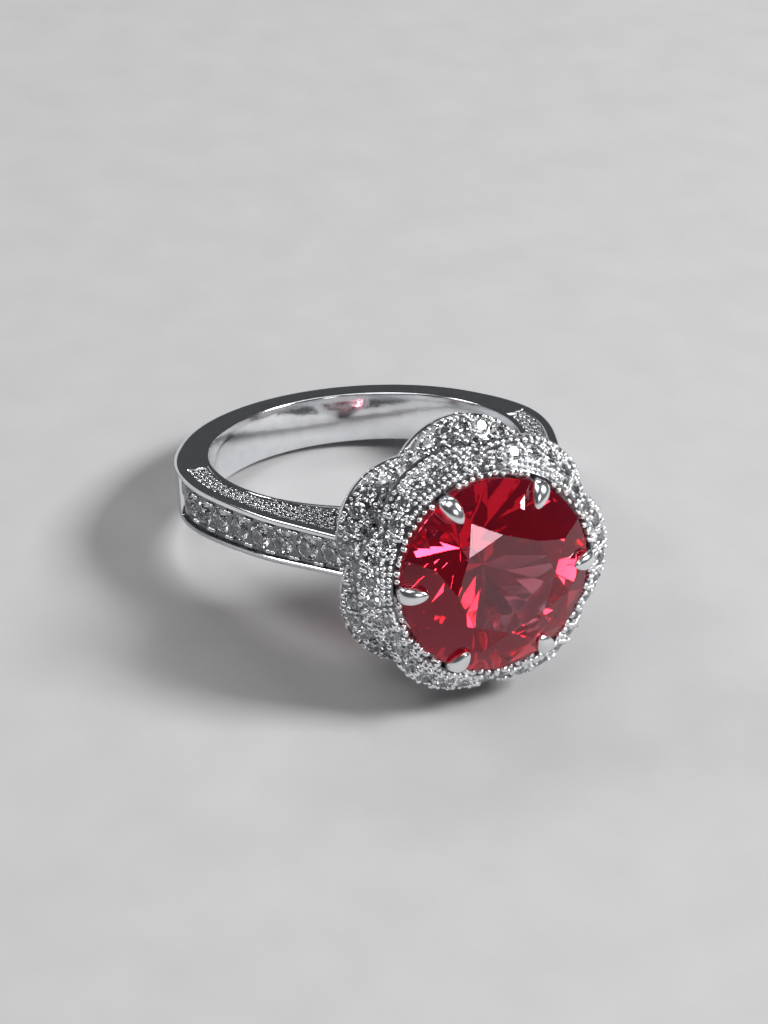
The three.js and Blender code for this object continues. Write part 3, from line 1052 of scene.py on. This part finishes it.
def ruby():
    """Crimson corundum with a faint painted glow, like a ruby's red fluorescence, that lifts its dark
    facets; its table is a little hazy, as if scuffed, and painted darker as shade.
    """
    material, tree, shader = gemstone("ruby", ROSY, index=1.77)
    # Painted light: a faint red glow lifts the stone's dark facets, though the stone is no lamp.
    shader.inputs["Emission Color"].default_value = RUBY_PAINTED_GLOW
    shader.inputs["Emission Strength"].default_value = 0.02
    shader.inputs["Specular Tint"].default_value = RUBY_SHEEN
    surface = tree.nodes.new("ShaderNodeNewGeometry")
    facing_out = tree.nodes.new("ShaderNodeVectorMath")
    facing_out.operation = "DOT_PRODUCT"
    facing_out.inputs[1].default_value = RING.to_3x3().col[0].normalized()
    tree.links.new(surface.outputs["Normal"], facing_out.inputs[0])
    # The facet facing out along +X, the table, is hazier, a little less clear, and its colour is painted
    # darker as shade.
    shade = tree.nodes.new("ShaderNodeVectorMath")
    shade.operation = "SCALE"
    tree.links.new(shader.inputs["Base Color"].links[0].from_socket, shade.inputs[0])
    tree.links.new(shade.outputs["Vector"], shader.inputs["Base Color"])
    for end, low, high in (
        (shader.inputs["Roughness"], 0.0, TABLE_HAZE),
        (shader.inputs["Transmission Weight"], 1.0, TABLE_CLEARNESS),
        (shade.inputs["Scale"], 1.0, TABLE_PAINTED_SHADE),
    ):
        on_table = tree.nodes.new("ShaderNodeMapRange")
        on_table.inputs["From Min"].default_value = TABLE_FACING[0]
        on_table.inputs["From Max"].default_value = TABLE_FACING[1]
        on_table.inputs["To Min"].default_value = low
        on_table.inputs["To Max"].default_value = high
        tree.links.new(facing_out.outputs["Value"], on_table.inputs["Value"])
        tree.links.new(on_table.outputs["Result"], end)
    depth = tree.nodes.new("ShaderNodeVolumeAbsorption")
    depth.inputs["Color"].default_value = CRIMSON
    depth.inputs["Density"].default_value = RUBY_DENSITY
    output = next(n for n in tree.nodes if n.type == "OUTPUT_MATERIAL")
    tree.links.new(depth.outputs["Volume"], output.inputs["Volume"])
    return material


def stage_paper():
    """Pale matt paper with a soft tooth."""
    material, tree, shader = new_material("stage_paper")
    fibres = noise(tree, scale=0.25, detail=6.0)
    tint = ramp(tree, fibres.outputs["Fac"], *PAPER, start=0.2, end=0.8)
    tree.links.new(tint.outputs["Color"], shader.inputs["Base Color"])
    shader.inputs["Roughness"].default_value = 0.9
    shader.inputs["Specular IOR Level"].default_value = 0.2
    return material


# ---------- the pieces ----------

POLISHED = white_gold("white_gold", BRIGHT, rough=(0.06, 0.15), dents=0.25)
CLAW_METAL = white_gold("white_gold_claws", BRIGHT, rough=(0.16, 0.26), dents=0.25)
GRAINED = white_gold("white_gold_grains", BRIGHTEST, rough=(0.06, 0.16), dents=0.1)
# Painted shade: dark, rougher metal for recesses, seats and pave-set faces.
PAINTED_SHADE_METAL = white_gold("white_gold_painted_shade", PAINTED_SHADE_TONES, rough=(0.2, 0.36), dents=0.3)
CLEAR = gemstone("clear_stone", COLOURLESS, index=2.16)[0]
RUBY = ruby()
SMOOTH = math.radians(38)
STONE_TIP = 0.035


def build_stones(name, stones, replaces=()):
    """A group of separate small stones, each spun and tipped a little its own way."""
    body = Body()
    for centre, axis, radius in stones:
        tip = np.array([DRAWS.uniform(-STONE_TIP, STONE_TIP) for _ in range(3)])
        set_at(body, SMALL_CUT, centre, np.asarray(axis) + tip, DRAWS.uniform(0, math.tau), radius)
    return add_piece(name, new_mesh(name, body), CLEAR, replaces=replaces)


def seats(stones):
    """The drilled seats of a group of stones."""
    body = Body()
    for centre, axis, radius in stones:
        set_at(body, seat(radius), centre, axis)
    return body


def to_ring(stones):
    """Stones of the head's frame in the ring's frame."""
    return [(c[[2, 0, 1]], a[[2, 0, 1]], r) for c, a, r in stones]


def build_shank():
    """The shank's casting, the stones set in it and the grains that hold them."""
    rows = {label: channel_row(label) for label in ("left", "right")}
    sides = all_side_places()
    every = rows["left"][1] + rows["right"][1] + sides
    mesh = drilled("shank_cast", shank_body(), seats(every))
    # Channels, side recesses and seats get the metal painted dark as shade.
    add_piece("shank_cast", mesh, POLISHED, SMOOTH, ["shank"], in_shaded_recess)
    for label, (names, row) in rows.items():
        build_stones(f"{label}_shoulder_stones", row, names)
        beads = Body()
        channel_beads(beads, row)
        name = f"{label}_shoulder_beads"
        add_piece(name, new_mesh(name, beads), GRAINED, SMOOTH)
    build_stones("side_stones", sides)
    build_side_beads(sides)


SIDE_GRAIN = 0.058
SIDE_GRAIN_REACH = 1.26
SIDE_GRAIN_CLEAR = 1.1
SIDE_GRAIN_GAP = 0.17
SIDE_GRAIN_LIFT = 0.03
SIDE_BORE_GAP = 0.1


def build_side_beads(sides):
    """Fine grains round the side faces' stones, in the gaps between them."""
    body = Body()
    shape = bead(SIDE_GRAIN)
    centres = np.array([s[0] for s in sides])
    placed = []
    for centre, axis, radius in sides:
        for turn in range(30, 360, 60):
            a = math.radians(turn)
            spot = centre + SIDE_GRAIN_REACH * radius * np.array([math.cos(a), math.sin(a), 0])
            if np.linalg.norm(centres - spot, axis=1).min() < SIDE_GRAIN_CLEAR * radius:
                continue
            if placed and np.linalg.norm(np.array(placed) - spot, axis=1).min() < SIDE_GRAIN_GAP:
                continue
            if math.hypot(spot[0], spot[1]) < BORE_RADIUS + BORE_RIM + SIDE_BORE_GAP:
                continue
            placed.append(spot)
            set_at(body, shape, spot + axis * SIDE_GRAIN_LIFT, axis)
    add_piece("side_beads", new_mesh("side_beads", body), GRAINED, SMOOTH)


CLAW_ROOM = math.radians(6.5)


def between_claws(angle):
    """Whether there is room between the claws at an angle."""
    pitch = 2 * math.pi / CLAW_COUNT
    return abs((angle + pitch / 2) % pitch - pitch / 2) > CLAW_ROOM


def build_top_halo():
    """The pave-set upper flower: its casting, its stones, a rim row, an inner row and the fill."""
    names = sorted(n for n in frame["nodes"] if n.startswith("halo_stone_"))
    stones = [cad_stone(name) for name in names]
    body = Body()
    points, faces = flower_ring(top_profile, top_edge)
    body.add(from_head(points), faces)
    mesh = drilled("top_halo_cast", body, seats(stones))
    # The whole casting, undersides too, is painted dark as shade between the grains and stones.
    add_piece("top_halo_cast", mesh, PAINTED_SHADE_METAL, SMOOTH, ["top_halo"])
    build_stones("top_halo_stones", stones, names)
    grains = Body()
    rim_grains(grains, top_edge, EDGE_INSET, TOP_RIM - 0.04, tilt=math.radians(62), radius=0.165)
    rim_grains(
        grains, lambda angle: TOP_INNER, 0.08, TOP_CREST + 0.03, tilt=math.radians(-20), radius=0.185,
        spread=0.22, keep=between_claws, wander=0.08,
    )
    surface = (top_edge, top_level, TOP_INNER + 0.2, EDGE_INSET + 0.12)
    build_halo_beads("top_halo_beads", grains, stones, surface)


PETAL_FACE_DEPTH = 0.12
SECOND_ROW_REACH = 6.95
# Rows round the petals' rim: inset, drop from the rim, lean in degrees, grain radius, start.
PETAL_GRAIN_ROWS = ((0.11, 0.03, 65, 0.165, 0.0), (0.12, 0.31, 92, 0.15, 0.5))


def on_shaded_petal_face(centres):
    """Which points of the petal halo's surface lie on its pave-set face, where the metal is painted dark as
    shade.
    """
    return centres[:, 0] > PETAL_RIM - PETAL_FACE_DEPTH


def in_petal(angle):
    """Whether the petals reach out far enough at an angle for a second row of stones."""
    return petal_edge(angle) > SECOND_ROW_REACH


def build_petal_halo():
    """The pave-set lower flower: a row of stones all round, and a second one on each petal."""
    outer = row_places(petal_edge, petal_level, inset=0.58, count=42, radius=0.45)
    inner = row_places(petal_edge, petal_level, inset=1.28, count=40, radius=0.4, keep=in_petal)
    stones = to_ring(outer + inner)
    body = Body()
    points, faces = flower_ring(petal_profile, petal_edge)
    body.add(from_head(points), faces)
    mesh = drilled("petal_halo_cast", body, seats(stones))
    # The pave-set face is painted dark as shade between the stones; the rest is polished.
    add_piece("petal_halo_cast", mesh, POLISHED, SMOOTH, ["petal_halo"], on_shaded_petal_face)
    build_stones("petal_stones", stones)
    grains = Body()
    for inset, drop, lean, radius, start in PETAL_GRAIN_ROWS:
        rim_grains(
            grains, petal_edge, EDGE_INSET + inset, PETAL_RIM - drop, tilt=math.radians(lean), radius=radius,
            start=start,
        )
    surface = (petal_edge, petal_level, SKIRT_RADIUS + 0.12, EDGE_INSET + 0.14)
    build_halo_beads("petal_beads", grains, stones, surface)


def build_halo_beads(name, body, stones, surface):
    """Fills a halo's face with grains between its stones, and shows them with the body's own."""
    head = [(c[[1, 2, 0]], a[[1, 2, 0]], r) for c, a, r in stones]
    scatter_beads(body, head, surface)
    body.points = [from_head(p) for p in body.points]
    add_piece(name, new_mesh(name, body), GRAINED, SMOOTH)


def build_basket():
    """The claw basket in one piece."""
    mesh = new_mesh("claw_basket_cast", basket_body())
    add_piece("claw_basket_cast", mesh, CLAW_METAL, SMOOTH, ["claw_basket"])


def build_centre_stone():
    """The centre stone in one piece."""
    points, facets = centre_cut()
    body = Body()
    body.add(from_head(points), facets)
    mesh = new_mesh("centre_stone_cut", body)
    add_piece("centre_stone_cut", mesh, RUBY, None, ["centre_stone"])


# ---------- stage, light and camera ----------

VIEW_AZIMUTH = math.radians(66.44)
VIEW_ELEVATION = math.radians(33.997)
VIEW_ROLL = math.radians(2.764)
VIEW_TARGET = Vector((-2.4425, 0.4604, 1.8716)) * MM
VIEW_DISTANCE = 137.33 * MM
VIEW_LENS = 88.34

# Softboxes: azimuth and elevation in degrees, size in metres, power in watts.
SOFTBOXES = {
    "key": (150, 40, (0.14, 0.14), 3.2),
    "front": (93, 26, (0.1, 0.1), 0.35),
    "top": (20, 68, (0.3, 0.3), 0.5),
    "side": (318, 38, (0.2, 0.12), 0.5),
    "back": (250, 50, (0.3, 0.12), 0.5),
}
SOFTBOX_DISTANCE = 0.5
SURROUND = (0.06, 0.062, 0.066, 1)
FLOOR_REACH = 3.0


def add_object(name, data):
    """Links new data into the scene as an object."""
    item = bpy.data.objects.new(name, data)
    bpy.context.scene.collection.objects.link(item)
    return item


def add_camera():
    """The camera, above the stone's side of the ring and looking down at it."""
    camera = add_object("camera", bpy.data.cameras.new("camera"))
    level = math.cos(VIEW_ELEVATION)
    forward = Vector((
        -math.sin(VIEW_AZIMUTH) * level, math.cos(VIEW_AZIMUTH) * level, -math.sin(VIEW_ELEVATION)))
    turn = forward.to_track_quat("-Z", "Y").to_matrix() @ Matrix.Rotation(VIEW_ROLL, 3, "Z")
    camera.matrix_world = Matrix.Translation(VIEW_TARGET - forward * VIEW_DISTANCE) @ turn.to_4x4()
    camera.data.lens = VIEW_LENS
    camera.data.clip_start = MM
    bpy.context.scene.camera = camera


def add_floor():
    """A plain pale floor under the ring."""
    mesh = bpy.data.meshes.new("floor")
    signs = ((-1, -1), (1, -1), (1, 1), (-1, 1))
    mesh.from_pydata([(x * FLOOR_REACH, y * FLOOR_REACH, 0) for x, y in signs], [], [(0, 1, 2, 3)])
    mesh.materials.append(stage_paper())
    add_object("floor", mesh)


def add_softbox(name, azimuth, elevation, size, power):
    """A soft light that faces the ring from an azimuth and elevation, in degrees."""
    light = bpy.data.lights.new(name, "AREA")
    light.shape = "RECTANGLE"
    light.size, light.size_y = size
    light.energy = power
    a, e = math.radians(azimuth), math.radians(elevation)
    back = Vector((math.sin(a) * math.cos(e), -math.cos(a) * math.cos(e), math.sin(e)))
    item = add_object(name, light)
    item.location = back * SOFTBOX_DISTANCE
    item.rotation_mode = "QUATERNION"
    item.rotation_quaternion = (-back).to_track_quat("-Z", "Y")


def add_light():
    """A dim grey surround and the softboxes, with enough bounces for faceted stones."""
    world = bpy.data.worlds.new("studio")
    world.use_nodes = True
    world.node_tree.nodes["Background"].inputs["Color"].default_value = SURROUND
    scene = bpy.context.scene
    scene.world = world
    scene.view_settings.view_transform = "Standard"
    scene.cycles.max_bounces = 24
    scene.cycles.glossy_bounces = 12
    scene.cycles.transmission_bounces = 24
    for name, settings in SOFTBOXES.items():
        add_softbox(name, *settings)


def main():
    """Makes the stage and every piece."""
    add_camera()
    add_floor()
    add_light()
    build_shank()
    build_top_halo()
    build_petal_halo()
    build_basket()
    build_centre_stone()


main()
